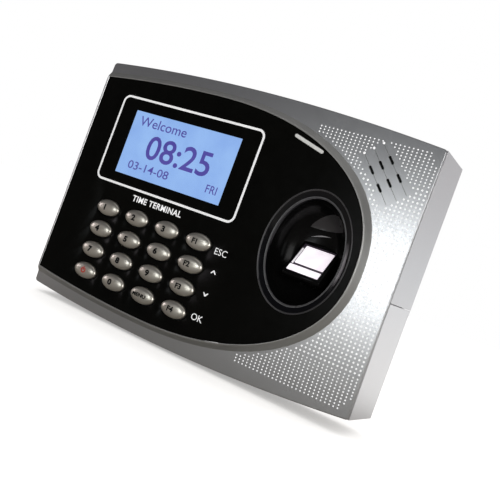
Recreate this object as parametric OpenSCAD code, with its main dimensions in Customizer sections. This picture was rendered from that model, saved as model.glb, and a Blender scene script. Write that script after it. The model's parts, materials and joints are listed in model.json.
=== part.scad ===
// Wall-mounted fingerprint time clock.
// Local face frame used by every module: x to the right, y up the face, z out from the wall.
// The face() module turns it into the row frame: +X right, +Z up, the face looks along -Y, the wall is Y = 0.

/* [Case] */
// Width of the case
case_w = 186.5; // [184:0.5:190]
// Height of the case at the crest of its bowed long edges
case_h = 130.4; // [129:0.2:132]
// Radius of the bowed top and bottom edges
bow_r = 925; // [850:5:1000]
// Sideways place of the crest of the bow, from the middle
bow_x = -14.2; // [-20:0.1:-8]
// Distance from the wall to the face of the black panel
panel_z = 36; // [36:0.1:36.4]
// Thickness of the case walls
wall_t = 2.4; // [2.2:0.1:2.6]
// Distance from the wall to the back of the case
back_z = 1; // [0.8:0.1:1.2]
// Radius of the crown of the silver front skin
crown_r = 900; // [880:5:950]
// How far the skin falls from its left end to its right end
skin_drop = 3.5; // [3:0.1:3.6]
// Thickness of the front skin
skin_t = 2.2; // [2:0.1:2.3]
// Width of the open groove between the front skin and the rear housing
groove_w = 0.9; // [0.6:0.1:1]

/* [Panel] */
// Thickness of the black face panel
panel_t = 1.2; // [1:0.1:1.3]
// Gap between the left end of the case and the panel
panel_inset = 1.3; // [1:0.1:1.6]
// Reach of the panel's rounded end from the crest line
panel_a = 98.2; // [97:0.1:98.4]
// Half height of the panel at the crest line
panel_b = 56.9; // [56.5:0.1:57.2]
// Fullness of the rounded end: 2 is an ellipse, more is squarer
panel_pow = 2.28; // [2.2:0.01:2.35]
// Width of the bevelled band around the panel
band_w = 2.9; // [2.6:0.1:3]

/* [Display] */
// Width of the display's lit area
lcd_w = 66.5; // [65:0.5:67]
// Height of the display's lit area
lcd_h = 33.2; // [32:0.1:33.6]

/* [Keys] */
// Width of an oval key
key_w = 14.6; // [14:0.1:14.8]
// Height of an oval key
key_h = 8.1; // [7.8:0.1:8.2]
// Distance between key columns
key_dx = 19.55; // [19.5:0.05:19.7]
// Distance between key rows
key_dy = 11.27; // [11.2:0.01:11.3]
// How far a key stands out of the panel
key_proud = 1.9; // [1.4:0.1:2.2]
// Travel of a key
key_travel = 1; // [0.6:0.1:1]

/* [Fingerprint reader] */
// Half width of the rim of the finger bowl
rim_a = 21.6; // [21.4:0.1:21.8]
// Half height of the rim of the finger bowl
rim_b = 27.5; // [27:0.1:27.7]
// Tilt of the sensor glass away from the face
glass_tilt = 36.3; // [35:0.1:37]
// Width of the sensor glass
glass_w = 16; // [15.5:0.1:16]
// Length of the sensor glass along its slope
glass_l = 16.9; // [16:0.1:16.9]

/* [Wall bracket] */
// Distance between the wall screws, across
bolt_x = 90; // [80:1:92]
// Distance between the wall screws, up and down
bolt_y = 60; // [56:1:62]
// Radius of the wall screw holes
bolt_r = 2.3; // [2:0.1:2.4]

/* [Hidden] */
$fn = 96;

// Heights above the wall
skin_z = panel_z;                      // front skin at its left end
recess_z = panel_z - panel_t;          // seat of the black panel
deck_z = recess_z - 1.4;               // underside of the deck that carries the panel
floor_z = back_z + 3;                  // inner face of the case's back wall
flange_z = deck_z - 0.3;               // top of a key's flange at rest
key_foot_z = flange_z - 1;             // underside of a key's flange at rest
mat_z = 28;                            // seat of the keypad mat on its board
dome_z = key_foot_z - key_travel - 0.3; // top of the mat's domes
lcd_board_z = 25;                      // rear face of the display's board
keypad_board_z = mat_z - 1.6;          // rear face of the keypad's board
main_board_z = 17;                     // rear face of the main board
recess_floor_z = back_z + 1.2;         // floor of the bracket's recess in the case's back

// Places on the face
crest_x = -23;                         // crest line of the panel's outline
panel_flat_r = 650;                    // radius of the panel's long edges left of the crest line
panel_left = -case_w / 2 + panel_inset;
lcd_at = [-32.25, 23.45];
key_at = [-60.75, -12.1];              // key in the first row and column
bowl_at = [50.3, 0];
glass_at = [52.45, -2.8];
glass_z = panel_z - 7;                 // middle of the sensor glass
light_at = [34.75, 45.9];
light_turn = -16;
speaker_at = [71.85, 42.4];
speaker_turn = -47;
speaker_r = 13;

// Places of posts, bosses and screws
boss_at = [[-85, 47], [-85, -47], [38, 57], [38, -57], [84.5, 22], [74, -50]];
lcd_post_at = [[-75.25, 47.65], [10.75, 47.65], [-75.25, -0.75], [10.75, -0.75]];
keypad_post_at = [[-73, -8.2], [11, -8.2], [-73, -49.8], [11, -49.8]];
board_post_at = [[-72, 40], [22, 40], [-72, -40], [22, -40]];
sensor_screw_at = [[bowl_at[0] - 16.8, -2], [bowl_at[0] + 16.8, -2]];
hook_at = [[-52, 20], [52, 20], [-52, -22], [52, -22]];

// Port door in the right wall
door_top = -8;
door_x = case_w / 2 - 2.2;             // inner face of the door
pivot = [case_w / 2 - 3.95, -5.2];     // pin of the door, behind the wall above it
door_arc = 5.0;                        // the door's top edge clears the wall on this radius
arm_z = [4.7, 22.4];                   // the two curved arms of the door
lug_z = [2.4, 25.2];                   // the two lugs that hold the pin
bay_x = 82;                            // inner bulkhead of the port bay
bay_top = -3.7;
ledge_t = 0.7;                         // skin over the top of the rear housing's walls

silver = [0.72, 0.72, 0.74];
black = [0.05, 0.05, 0.06];
board_green = [0.05, 0.35, 0.2];
steel = [0.6, 0.6, 0.62];

// ---------- frames and outlines ----------

module face() {
    rotate([90, 0, 0]) children();
}

module slab(z0, z1) {
    translate([0, 0, z0]) linear_extrude(z1 - z0) children();
}

// Case outline seen from the front, drawn in by inset all round
module outline(inset = 0) {
    intersection() {
        square([case_w - 2 * inset, case_h], center = true);
        translate([bow_x, case_h / 2 - bow_r]) circle(r = bow_r - inset, $fn = 720);
        translate([bow_x, bow_r - case_h / 2]) circle(r = bow_r - inset, $fn = 720);
    }
}

// Everything on the wall's side of the crowned front skin, lowered by down
module under_skin(down = 0) {
    tilt = atan(skin_drop / case_w);
    translate([-case_w / 2, 0, skin_z - crown_r]) rotate([0, 90 + tilt, 0]) translate([0, 0, -60])
        cylinder(r = crown_r - down, h = case_w + 120, $fn = 720);
}

// Edge of the black panel, grown by grow, from its left end round to the left end again
function long_edge(x, grow) = panel_b + grow - pow(crest_x - x, 2) / (2 * panel_flat_r);
function round_end(t, grow) = [
    crest_x + (panel_a + grow) * pow(cos(t), 2 / panel_pow),
    (t < 0 ? -1 : 1) * (panel_b + grow) * pow(abs(sin(t)), 2 / panel_pow)
];
function panel_edge(grow, left) = concat(
    [for (i = [0:7]) let (x = left + (crest_x - left) * i / 8) [x, long_edge(x, grow)]],
    [for (i = [0:36]) round_end(90 - 5 * i, grow)],
    [for (i = [7:-1:0]) let (x = left + (crest_x - left) * i / 8) [x, -long_edge(x, grow)]]
);

module panel_shape(grow = 0, left = panel_left) {
    polygon(panel_edge(grow, left));
}

module oval(a, b, steps = 28) {
    polygon([for (i = [0:steps - 1]) [a * cos(360 * i / steps), b * sin(360 * i / steps)]]);
}

// Stadium: a bar with round ends, l long overall and w wide
module bar(l, w) {
    square([l - w, w], center = true);
    for (s = [-1, 1]) translate([s * (l - w) / 2, 0]) circle(d = w, $fn = 24);
}

module posts(places, r, z0, z1) {
    for (p = places) translate([p[0], p[1], z0]) cylinder(r = r, h = z1 - z0, $fn = 32);
}

// Pan-head screws standing on head_z, pointing out from the wall
module screws(places, head_r, head_h, r, head_z, l) {
    for (p = places) translate([p[0], p[1], head_z]) difference() {
        union() {
            translate([0, 0, -head_h]) cylinder(r = head_r, h = head_h, $fn = 32);
            cylinder(r = r, h = l, $fn = 32);
        }
        for (a = [0, 90]) rotate([0, 0, a])
            translate([-head_r * 0.6, -head_r * 0.12, -head_h - 1]) cube([head_r * 1.2, head_r * 0.24, 1.6]);
    }
}

function key_place(col, row) = [key_at[0] + col * key_dx, key_at[1] - row * key_dy];

module at_keys() {
    for (col = [0:3], row = [0:3]) translate(key_place(col, row)) children();
}

module at_light() {
    translate(light_at) rotate([0, 0, light_turn]) children();
}

// Six sound slots: two rows of three
module speaker_slots() {
    translate(speaker_at) rotate([0, 0, speaker_turn])
        for (row = [-1, 1], col = [-1:1]) translate([row * 4.5, col * 4.6]) bar(4.4, 0.9);
}

// ---------- case ----------

// Bosses and posts that stand on the back of the front skin and of the panel's deck
module inner_posts() {
    intersection() {
        posts(boss_at, 3.5, 12, panel_z);
        under_skin(0.6);
    }
    posts(lcd_post_at, 2.2, lcd_board_z + 1.6, deck_z + 0.4);
    posts(keypad_post_at, 2.2, mat_z, deck_z + 0.4);
    slab(28, deck_z + 0.4) at_light() for (s = [-1, 1]) translate([s * 11.6, 0]) circle(r = 1.3, $fn = 24);
    intersection() {
        translate([speaker_at[0], speaker_at[1], 25]) difference() {
            cylinder(r = speaker_r + 1.6, h = 12);
            translate([0, 0, -1]) cylinder(r = speaker_r + 0.3, h = 14);
        }
        under_skin(0.6);
    }
}

module front_housing() {
    color(silver) face() difference() {
        union() {
            difference() {
                intersection() {
                    slab(20, panel_z + 4) outline();
                    union() {
                        under_skin();
                        // plateau with its bevelled band
                        hull() {
                            slab(panel_z - 0.1, panel_z) panel_shape(0.6, -case_w / 2);
                            slab(panel_z - 3.2, panel_z - 3.1) panel_shape(band_w, -case_w / 2);
                        }
                    }
                }
                // room for the rear housing's walls, outside the lip
                difference() {
                    under_skin(ledge_t);
                    slab(10, panel_z + 4) outline(wall_t + 0.3);
                }
                difference() {
                    intersection() {
                        slab(0, panel_z + 4) outline(wall_t + 1.8);
                        under_skin(skin_t);
                    }
                    slab(deck_z, recess_z) panel_shape(0.3, -case_w / 2 + wall_t);
                }
                slab(15, deck_z) panel_shape(0.2, -case_w / 2 + wall_t + 1.8);
            }
            inner_posts();
        }
        slab(recess_z, panel_z + 4) panel_shape(0.12, panel_left - 0.12);
        slab(20, panel_z + 4) {
            at_keys() oval(key_w / 2 + 0.3, key_h / 2 + 0.3);
            translate(lcd_at) square([lcd_w + 0.4, lcd_h + 0.4], center = true);
            translate(bowl_at) oval(19.5, 25.7, 48);
            at_light() bar(17.6, 2.4);
            speaker_slots();
        }
        // way into the port bay
        translate([bay_x, -70, 15]) cube([12, 70 + bay_top + 1.8, 12.5]);
        posts(boss_at, 1.52, 11, 24);
        posts(lcd_post_at, 1.12, lcd_board_z + 1, 32);
        posts(keypad_post_at, 1.12, mat_z - 0.5, 32.6);
    }
}

module rear_housing() {
    color(silver) face() difference() {
        union() {
            difference() {
                intersection() {
                    slab(back_z, panel_z) outline();
                    under_skin(ledge_t + groove_w);
                }
                slab(floor_z, panel_z + 1) outline(wall_t);
            }
            posts(boss_at, 4.4, back_z, 12);
            posts(board_post_at, 3, floor_z - 1, main_board_z);
            posts([[70, -41], [70, -25]], 2, floor_z - 1, 14);
            for (z = lug_z) slab(z, z + 1.8) translate(pivot) {
                circle(r = 1.3, $fn = 48);
                translate([-1.3, 0]) square([3.2, 2.4]);
            }
            intersection() {
                slab(back_z, 27) outline(0.1);
                union() {
                    translate([bay_x, -64, back_z]) cube([1.6, 64 + bay_top + 1.8, 26]);
                    translate([bay_x, bay_top, back_z]) cube([case_w / 2 - bay_x - 1, 1.8, 26]);
                }
            }
        }
        // opening that the door closes
        translate([door_x - 0.85, -70, back_z - 1]) cube([10, 70 + door_top, panel_z]);
        translate([pivot[0], pivot[1], 3]) cylinder(r = 0.6, h = panel_z, $fn = 48);
        // socket hole in the bulkhead of the port bay
        translate([bay_x - 1, -37, 15.4]) cube([4, 14, 7.6]);
        // recess for the bracket, its tongue and their openings
        slab(0, recess_floor_z) {
            square([128, 88], center = true);
            translate([0, -50.7]) square([18, 23.4], center = true);
        }
        translate([-33, -25, 0]) cube([66, 22, 10]);
        for (p = hook_at) translate([p[0] - 4.4, p[1] - 7, 0]) cube([8.8, 7.9, 10]);
        translate([-8.5, -62.4, 0]) cube([17, 10, 10]);
        // screws
        posts(boss_at, 3.2, 0, 9);
        posts(boss_at, 1.7, 0, 13);
        posts(board_post_at, 1.12, floor_z, main_board_z + 1);
        translate([0, -70, 6]) rotate([-90, 0, 0]) {
            cylinder(r = 1.65, h = 12, $fn = 32);
            cylinder(r = 3, h = 70 - case_h / 2 + 1.4, $fn = 32);
        }
    }
}

// Goose-neck arm that carries the door round the edge of the wall
module hinge_arm() {
    translate(pivot) {
        circle(r = 1.2, $fn = 48);
        translate([-4.7, -1.2]) square([4.7, 1.9]);
        translate([-4.7, -7]) square([1.5, 7]);
        translate([-4.7, -7]) square([6.7, 1.6]);
    }
}

module port_door() {
    color(silver) face() difference() {
        union() {
            intersection() {
                slab(back_z + 0.2, panel_z) outline();
                under_skin(ledge_t + groove_w);
                difference() {
                    translate([door_x, -70, 0]) cube([10, 70 + door_top, panel_z]);
                    translate([pivot[0], pivot[1], -1]) cylinder(r = door_arc, h = panel_z + 2, $fn = 128);
                }
            }
            for (z = arm_z) slab(z, z + 2.5) hinge_arm();
        }
        translate([pivot[0], pivot[1], 0]) cylinder(r = 0.65, h = panel_z, $fn = 48);
    }
}

module door_pin() {
    color(steel) face() translate([pivot[0], pivot[1], 3]) cylinder(r = 0.6, h = 24, $fn = 48);
}

// ---------- face ----------

module face_panel() {
    color(black) face() difference() {
        slab(recess_z, panel_z) panel_shape();
        slab(recess_z - 1, panel_z + 1) {
            at_keys() oval(key_w / 2 + 0.3, key_h / 2 + 0.3);
            translate(lcd_at) square([lcd_w + 3.1, lcd_h + 3.1], center = true);
            translate(bowl_at) oval(19.5, 25.7, 48);
            at_light() bar(17.5, 2.3);
        }
    }
}

module display_window() {
    color([0.4, 0.55, 0.9, 0.5]) face() slab(recess_z, panel_z - 0.05)
        translate(lcd_at) square([lcd_w + 3, lcd_h + 3], center = true);
}

module status_light() {
    color([0.85, 0.85, 0.86]) face() {
        slab(30.2, panel_z + 0.1) at_light() bar(17.4, 2.2);
        slab(31.4, deck_z) at_light() bar(18.6, 2.9);
    }
}

module status_led() {
    color([0.9, 0.9, 0.8]) face() {
        slab(26.8, 28) at_light() square([26.4, 6], center = true);
        slab(28, 29.4) at_light() for (s = [-1, 1]) translate([s * 4.5, 0]) square([3.2, 2.8], center = true);
    }
}

// One oval domed key with its flange and foot
module key(col, row, tint = silver) {
    steps = [[1, 0], [0.94, 0.5], [0.8, 0.84], [0.55, 1]];
    color(tint) face() translate(key_place(col, row)) {
        slab(key_foot_z, flange_z) oval(key_w / 2 + 0.8, key_h / 2 + 0.8);
        slab(flange_z, panel_z + 0.3) oval(key_w / 2, key_h / 2);
        hull() for (s = steps) {
            z = panel_z + 0.25 + s[1] * (key_proud - 0.3);
            slab(z, z + 0.05) oval(key_w / 2 * s[0], key_h / 2 * s[0]);
        }
    }
}

module keypad_mat() {
    color([0.35, 0.35, 0.36]) face() {
        slab(mat_z, mat_z + 0.9) translate([-31, -29.2]) square([78.8, 45.6], center = true);
        at_keys() translate([0, 0, mat_z + 0.9]) cylinder(r1 = 4, r2 = 3, h = dome_z - mat_z - 0.9, $fn = 32);
    }
}

module keypad_board() {
    color(board_green) face() difference() {
        slab(keypad_board_z, mat_z) translate([-31, -29]) square([90, 47.2], center = true);
        posts(keypad_post_at, 1.3, keypad_board_z - 1, mat_z + 1);
    }
}

module keypad_screws() {
    color(steel) face() screws(keypad_post_at, 2.1, 1.5, 1.1, keypad_board_z, 5.6);
}

// ---------- display ----------

module lcd_frame() {
    color(steel) face() translate([lcd_at[0], lcd_at[1], 0]) difference() {
        slab(lcd_board_z + 1.6, deck_z - 0.2) square([79, 49], center = true);
        slab(lcd_board_z, deck_z - 0.8) square([77.8, 47.8], center = true);
        slab(lcd_board_z, deck_z + 1) square([lcd_w + 1.4, lcd_h + 1.4], center = true);
    }
}

module lcd_glass() {
    color([0.35, 0.5, 0.95]) face() slab(30.3, 32.3) translate(lcd_at) square([75, 45], center = true);
}

module lcd_backlight() {
    color("white") face() slab(26.7, 30.2) translate(lcd_at) square([76, 46], center = true);
}

module lcd_board() {
    color(board_green) face() difference() {
        slab(lcd_board_z, lcd_board_z + 1.6) translate(lcd_at) square([92, 54], center = true);
        posts(lcd_post_at, 1.3, lcd_board_z - 1, lcd_board_z + 3);
    }
}

module lcd_screws() {
    color(steel) face() screws(lcd_post_at, 2.1, 1.5, 1.1, lcd_board_z, 6.6);
}

// ---------- fingerprint reader ----------

// Sloped frame with z = 0 on the glass surface and y up its slope
module on_glass() {
    translate([glass_at[0], glass_at[1], glass_z]) rotate([-glass_tilt, 0, 0]) children();
}

module finger_bowl() {
    color(black) face() difference() {
        translate([bowl_at[0], bowl_at[1], 0]) union() {
            slab(panel_z, panel_z + 1) oval(rim_a, rim_b, 48);
            slab(deck_z - 1, panel_z) oval(19.2, 25.4, 48);
            hull() {
                slab(deck_z - 1.2, deck_z - 1) oval(19.2, 25.4, 48);
                slab(27, 27.1) oval(17.6, 23.4, 48);
                slab(22.5, 22.6) oval(14.2, 19, 48);
                slab(20.6, 20.7) oval(9.5, 13, 48);
            }
            posts([[-16.8, -2], [16.8, -2]], 2.5, 20.6, 29);
        }
        difference() {
            translate([bowl_at[0], bowl_at[1], 0]) hull() {
                slab(panel_z + 1, panel_z + 1.1) oval(18.2, 24.6, 48);
                slab(33, 33.1) oval(17.4, 23.4, 48);
                slab(28, 28.1) oval(15.4, 20.8, 48);
                slab(24.4, 24.5) oval(11.8, 16.4, 48);
                slab(22.6, 22.7) oval(7, 10, 48);
            }
            // sloped pedestal that holds the glass
            translate([glass_at[0] - 9.6, 0, 0]) rotate([90, 0, 90]) linear_extrude(19.2)
                polygon([[-14, 20], [-12.6, 32.2], [-11.4, 34.6], [-10.4, 34.6], [6, 22.5], [7, 20]]);
        }
        on_glass() translate([-glass_w / 2 - 0.1, -glass_l / 2 - 0.1, -4.1])
            cube([glass_w + 0.2, glass_l + 0.2, 12]);
        sensor_core(0.2);
        posts(sensor_screw_at, 1.07, 20, 26);
    }
}

// Light guide that reaches from the sensor's body up to the glass
module sensor_core(grow = 0) {
    intersection() {
        slab(19, 34) translate([glass_at[0], glass_at[1] - 0.8])
            square([14.6 + 2 * grow, 12 + 2 * grow], center = true);
        on_glass() translate([-20, -30, -44]) cube([40, 60, 40 - 0.1 + grow]);
    }
}

module sensor_glass() {
    color([0.95, 0.9, 0.98, 0.8]) face() on_glass()
        translate([-glass_w / 2, -glass_l / 2, -4]) cube([glass_w, glass_l, 4]);
}

module sensor_module() {
    color([0.1, 0.1, 0.11]) face() difference() {
        union() {
            slab(9, 20.2) translate([50.3, -2]) square([26, 32], center = true);
            slab(17.6, 20.2) translate([50.3, -2]) square([39.4, 9], center = true);
            sensor_core();
        }
        posts(sensor_screw_at, 1.3, 16, 22);
    }
}

module sensor_board() {
    color(board_green) face() slab(7.4, 9) translate([50.3, -2]) square([32, 36], center = true);
}

module sensor_screws() {
    color(steel) face() screws(sensor_screw_at, 2, 1.4, 1.05, 17.6, 8);
}

// ---------- sound ----------

module speaker() {
    color([0.15, 0.15, 0.16]) face() translate([speaker_at[0], speaker_at[1], 0]) difference() {
        union() {
            translate([0, 0, 23.4]) cylinder(r = speaker_r, h = 3.6);
            translate([0, 0, 19]) cylinder(r = 7.4, h = 5);
        }
        translate([0, 0, 25.4]) cylinder(r1 = 5, r2 = 10.6, h = 2);
    }
}

module speaker_gasket() {
    color([0.2, 0.2, 0.2]) face() translate([speaker_at[0], speaker_at[1], 27]) difference() {
        cylinder(r = speaker_r, h = 1.6);
        translate([0, 0, -1]) cylinder(r = speaker_r - 2, h = 4);
    }
}

// ---------- boards, sockets and leads ----------

module main_board() {
    color(board_green) face() difference() {
        slab(main_board_z, main_board_z + 1.6) translate([-25, 0]) square([102, 88], center = true);
        posts(board_post_at, 1.3, main_board_z - 1, main_board_z + 3);
    }
}

module main_chips() {
    chips = [[-52, 22, 20, 20], [-52, -14, 14, 14], [-26, 26, 12, 18], [-6, -26, 10, 8], [-62, -33, 8, 6]];
    color([0.08, 0.08, 0.09]) face() for (c = chips)
        slab(main_board_z + 1.6, main_board_z + 3.2)
            translate([c[0], c[1]]) square([c[2], c[3]], center = true);
}

module board_screws() {
    color(steel) face() translate([0, 0, 2 * main_board_z + 1.6]) mirror([0, 0, 1])
        screws(board_post_at, 2.4, 1.6, 1.1, main_board_z, 9);
}

module cell_holder() {
    color([0.12, 0.12, 0.12]) face() translate([8, 18, main_board_z + 1.6]) difference() {
        cylinder(r = 11.6, h = 4.4);
        translate([0, 0, 1]) cylinder(r = 10.1, h = 4);
        translate([-3, 4, 1]) cube([6, 12, 4]);
    }
}

module backup_cell() {
    color([0.8, 0.8, 0.82]) face() translate([8, 18, main_board_z + 2.6]) cylinder(r = 10, h = 3.2);
}

module network_jack() {
    color([0.75, 0.75, 0.77]) face() difference() {
        translate([-28, -21.5, 4.6]) cube([16, 15, main_board_z - 4.6]);
        translate([-26, -19, 3]) cube([12, 8.4, 11.6]);
        translate([-23, -11, 3]) cube([6, 2.6, 11.6]);
    }
}

module power_jack() {
    color([0.1, 0.1, 0.1]) face() difference() {
        translate([-6, -19, 5]) cube([9.4, 10.4, main_board_z - 5]);
        translate([-1.3, -13.8, 4]) difference() {
            cylinder(r = 2.8, h = 10.5, $fn = 48);
            translate([0, 0, -1]) cylinder(r = 1, h = 14, $fn = 48);
        }
    }
}

module terminal_block() {
    color([0.1, 0.4, 0.2]) face() difference() {
        translate([7, -20, 7]) cube([24, 9, main_board_z - 7]);
        for (i = [0:5]) translate([9.4 + i * 3.84, -15.5, 6]) {
            cylinder(r = 1.3, h = 6, $fn = 32);
            translate([-1.2, -6, 6.4]) cube([2.4, 4, 2.6]);
        }
    }
}

module usb_board() {
    color(board_green) face() slab(14, 15.6) translate([73.6, -32.5]) square([15.6, 23], center = true);
}

module usb_port() {
    color(steel) face() difference() {
        translate([69, -36.6, 15.6]) cube([15.4, 13.2, 7]);
        translate([72, -36, 16.2]) difference() {
            cube([14, 12, 5.8]);
            translate([-1, 1, 2.9]) cube([10.4, 10, 1.9]);
        }
    }
}

// Flat ribbon or lead: pts is its route seen edge-on, w its width, th its thickness
module strip(pts, w, th) {
    linear_extrude(w) polygon(concat(
        [for (p = pts) [p[0], p[1]]],
        [for (i = [len(pts) - 1:-1:0]) [pts[i][0] + th, pts[i][1] + th * 0.5]]
    ));
}

module display_ribbon() {
    color([0.85, 0.6, 0.3]) face() translate([-46, 0, 0]) rotate([90, 0, 90])
        strip([[0.5, 24.7], [1.5, 22.6], [-1.5, 20.6], [-1, 18.6]], 16, 0.4);
}

module keypad_ribbon() {
    color([0.85, 0.6, 0.3]) face() translate([-34, 0, 0]) rotate([90, 0, 90])
        strip([[-29, 26.2], [-27, 23.6], [-30, 21], [-29, 18.6]], 12, 0.4);
}

module sensor_lead() {
    color([0.7, 0.2, 0.15]) face() translate([0, 6, 0]) rotate([90, 0, 0])
        strip([[33.4, 8.6], [30, 12], [27, 15], [25.4, 16.5]], 6, 0.8);
}

module speaker_lead() {
    color([0.15, 0.15, 0.15]) face() translate([0, 40, 0]) rotate([90, 0, 0])
        strip([[64, 21], [50, 19.6], [36, 20], [25.6, 18.8]], 3, 0.8);
}

module usb_lead() {
    color([0.6, 0.6, 0.6]) face() translate([0, -27, 0]) rotate([90, 0, 0])
        strip([[64.8, 14.6], [52, 13], [38, 13.4], [25.6, 16.2]], 5, 0.8);
}

// ---------- fixings ----------

module case_screws() {
    color(steel) face() screws(boss_at, 2.8, 1.8, 1.5, 9, 13);
}

module wall_bracket() {
    color(steel) face() difference() {
        union() {
            slab(0, 1.6) {
                square([124, 84], center = true);
                translate([0, -48.2]) square([16, 13.6], center = true);
            }
            translate([-8, -55, 0]) cube([16, 1.6, 9.6]);
            for (p = hook_at) {
                translate([p[0] - 4, p[1] - 0.9, 0]) cube([8, 1.6, 5.8]);
                translate([p[0] - 4, p[1] - 0.9, 4.4]) cube([8, 6, 1.4]);
            }
        }
        slab(-1, 3) translate([0, -14]) square([72, 26], center = true);
        for (x = [-1, 1], y = [-1, 1]) translate([x * bolt_x / 2, y * bolt_y / 2, -1])
            cylinder(r = bolt_r, h = 4, $fn = 48);
        translate([0, -58, 6]) rotate([-90, 0, 0]) cylinder(r = 1.52, h = 6, $fn = 32);
    }
}

module retaining_screw() {
    color(steel) face() translate([0, -case_h / 2 + 1.4, 6]) rotate([-90, 0, 0])
        screws([[0, 0]], 2.7, 1.1, 1.5, 0, 11.6);
}

front_housing();
rear_housing();
face_panel();
display_window();
status_light();
finger_bowl();
sensor_glass();
sensor_module();
sensor_board();
sensor_screws();
key(0, 0);  // key_1
key(1, 0);  // key_2
key(2, 0);  // key_3
key(3, 0);  // key_f1
key(0, 1);  // key_4
key(1, 1);  // key_5
key(2, 1);  // key_6
key(3, 1);  // key_f2
key(0, 2);  // key_7
key(1, 2);  // key_8
key(2, 2);  // key_9
key(3, 2);  // key_f3
key(0, 3, [0.75, 0.6, 0.6]);  // key_power
key(1, 3);  // key_0
key(2, 3);  // key_menu
key(3, 3);  // key_f4
keypad_mat();
keypad_board();
keypad_screws();
lcd_frame();
lcd_glass();
lcd_backlight();
lcd_board();
lcd_screws();
main_board();
main_chips();
board_screws();
cell_holder();
backup_cell();
network_jack();
power_jack();
terminal_block();
usb_board();
usb_port();
port_door();
door_pin();
speaker();
speaker_gasket();
status_led();
display_ribbon();
keypad_ribbon();
sensor_lead();
speaker_lead();
usb_lead();
case_screws();
wall_bracket();
retaining_screw();
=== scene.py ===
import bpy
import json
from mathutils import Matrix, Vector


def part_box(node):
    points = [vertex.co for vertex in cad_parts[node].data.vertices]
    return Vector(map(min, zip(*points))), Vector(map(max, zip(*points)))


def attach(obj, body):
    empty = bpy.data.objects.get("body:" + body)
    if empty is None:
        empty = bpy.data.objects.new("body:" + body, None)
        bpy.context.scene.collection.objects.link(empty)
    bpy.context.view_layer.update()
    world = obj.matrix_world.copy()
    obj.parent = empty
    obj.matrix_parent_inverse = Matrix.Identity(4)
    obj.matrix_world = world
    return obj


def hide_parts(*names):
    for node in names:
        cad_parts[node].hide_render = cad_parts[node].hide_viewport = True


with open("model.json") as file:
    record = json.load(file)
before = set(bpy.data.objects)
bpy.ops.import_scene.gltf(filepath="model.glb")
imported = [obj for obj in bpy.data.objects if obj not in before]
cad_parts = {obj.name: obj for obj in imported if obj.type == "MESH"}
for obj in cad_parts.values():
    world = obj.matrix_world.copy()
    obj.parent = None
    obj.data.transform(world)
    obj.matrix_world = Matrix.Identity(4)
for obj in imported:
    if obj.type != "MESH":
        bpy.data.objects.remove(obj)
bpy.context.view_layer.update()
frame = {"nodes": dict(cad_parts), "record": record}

import json
from math import atan, cos, pi, radians, sin, sqrt, tan

import bmesh
import bpy
from mathutils import Matrix, Vector
from mathutils.geometry import delaunay_2d_cdt

# Sizes are millimetres in the face frame: x right, v up, n out from the wall. Places and extents
# come from the CAD nodes. The other numbers shape the outlines between them.


def corners(node):
    """Lowest and highest corner (x, v, n) of a CAD node."""
    (x0, y0, z0), (x1, y1, z1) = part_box(node)
    return [tuple(round(1000 * c, 2) for c in corner) for corner in ((x0, z0, -y1), (x1, z1, -y0))]


def centre(node):
    """Middle (x, v) of a CAD node."""
    low, high = corners(node)
    return (round((low[0] + high[0]) / 2, 2), round((low[1] + high[1]) / 2, 2))


# case: bowed top and bottom edges, and a crowned skin that falls away to the right
(LEFT, BOTTOM, _), (RIGHT, _, _) = corners("rear_housing")
HALF_H = -BOTTOM
BOW_R, BOW_X = 925.0, -14.2
CROWN_R, DROP = 900.0, 3.5
TILT = atan(DROP / (RIGHT - LEFT))
# black panel: nearly straight left of its crest, a superellipse right of it
(PANEL_LEFT, _, _), (PANEL_RIGHT, PANEL_B, PANEL_N) = corners("face_panel")
CREST_X, FLAT_R, PANEL_POW = -23.0, 650.0, 2.28
PANEL_A = PANEL_RIGHT - CREST_X
BAND = 2.9
# keys: four by four ovals
KEY_AT = centre("key_1")
KEY_DX = round(centre("key_2")[0] - KEY_AT[0], 2)
KEY_DY = round(KEY_AT[1] - centre("key_4")[1], 2)
KEY_A, KEY_B = 7.3, 4.05
# display: the window laps under the panel all round it
LAP = 1.5
LCD_AT = centre("display_window")
LCD_W, LCD_H = (round(b - a - 2 * LAP, 2) for a, b in list(zip(*corners("display_window")))[:2])
# finger bowl, reader glass, speaker and status light
BOWL_AT = centre("finger_bowl")
GLASS_AT, GLASS_N, GLASS_TILT = (centre("sensor_glass")[0], -2.8), 29.0, 36.3
SPEAKER_AT, SPEAKER_TURN = centre("speaker"), -47.0
LIGHT_AT, LIGHT_TURN = centre("status_light"), -16.0


def skin(x, v):
    """Height of the crowned silver skin."""
    return PANEL_N - CROWN_R + sqrt(CROWN_R**2 - v * v) / cos(TILT) - tan(TILT) * (x - LEFT)


def edge_top(x, inset=0.0):
    """Half height of the case at x."""
    return HALF_H - BOW_R + sqrt((BOW_R - inset) ** 2 - (x - BOW_X) ** 2)


def spow(c, p):
    """Power of a number's size, with its sign kept."""
    return (abs(c) ** p) * (1 if c >= 0 else -1)


def band_half(x, grow):
    """Half height of the panel outline, grown by grow, left of its crest."""
    return PANEL_B + grow - (CREST_X - x) ** 2 / (2 * FLAT_R)


def panel_edge(grow, left, steps=64):
    """Panel outline grown by grow, from its top left end round the right to its bottom left end."""
    top = []
    for i in range(24):
        x = left + (CREST_X - left) * i / 24
        top.append((x, band_half(x, grow)))
    bend = []
    for i in range(steps * 2 + 1):
        t = radians(90 - 90 * i / steps)
        bend.append((CREST_X + (PANEL_A + grow) * spow(cos(t), 2 / PANEL_POW),
                     (PANEL_B + grow) * spow(sin(t), 2 / PANEL_POW)))
    return top + bend + [(x, -v) for x, v in reversed(top)]


def turned(pts, cx, cv, turn):
    """Points turned about the origin, then moved to a centre."""
    t = radians(turn)
    return [(cx + x * cos(t) - v * sin(t), cv + x * sin(t) + v * cos(t)) for x, v in pts]


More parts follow.
